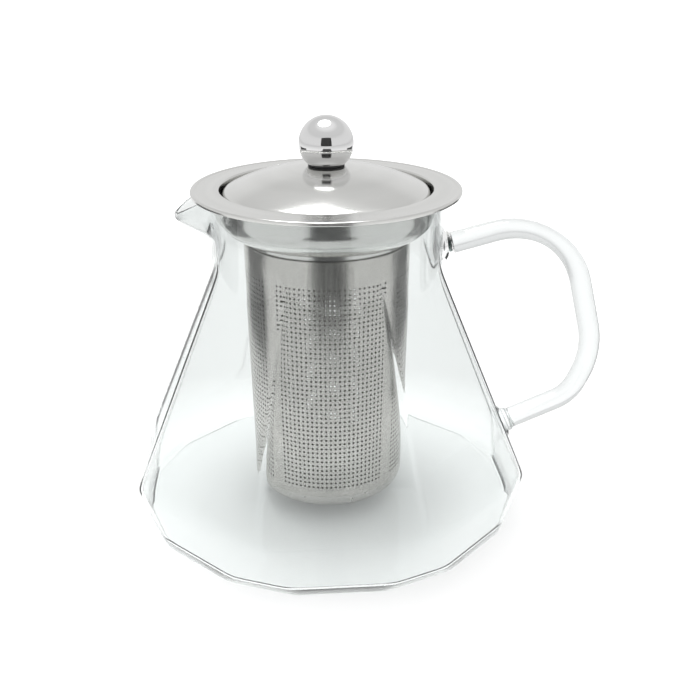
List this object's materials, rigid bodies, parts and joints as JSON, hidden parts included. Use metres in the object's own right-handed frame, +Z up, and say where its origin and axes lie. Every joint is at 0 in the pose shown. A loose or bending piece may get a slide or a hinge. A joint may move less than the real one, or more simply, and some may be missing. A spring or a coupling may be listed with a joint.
{
  "type": "teapot",
  "caption": "Faceted clear glass teapot with a pouring lip and glass loop handle, a lift-out perforated steel infuser hung in its neck, and a domed steel lid with a ball knob.",
  "frame": {"origin": "centre of the flat glass base, on the surface it stands on", "axes": "+Z up the pot's axis, +X towards the handle, -X towards the pouring lip, +Y away from the side the picture shows"},
  "size_m": [0.1695, 0.1374, 0.1418],
  "materials": {
    "clear_glass": "clear blown borosilicate, fire polished",
    "satin_steel": "fine satin",
    "polished_steel": "soft polish",
    "mirror_steel": "mirror polish",
    "dark_silicone": "matt"
  },
  "bodies": {
    "pot": {"glass_body": "clear_glass", "glass_handle": "clear_glass", "handle_upper_bead": "clear_glass", "handle_lower_bead": "clear_glass"},
    "infuser": {"infuser_collar": "satin_steel", "basket_wall": "satin_steel", "basket_cup": "satin_steel"},
    "lid": {"lid_dome": "polished_steel", "knob_ball": "mirror_steel", "knob_spacer": "dark_silicone", "knob_washer": "polished_steel", "knob_screw": "polished_steel"}
  },
  "joints": [
    {"name": "infuser_lift", "type": "slide", "parent": "pot", "child": "infuser", "axis": [0, 0, 1], "range_m": [0, 0.125]},
    {"name": "lid_lift", "type": "slide", "parent": "infuser", "child": "lid", "axis": [0, 0, 1], "range_m": [0, 0.06]}
  ]
}
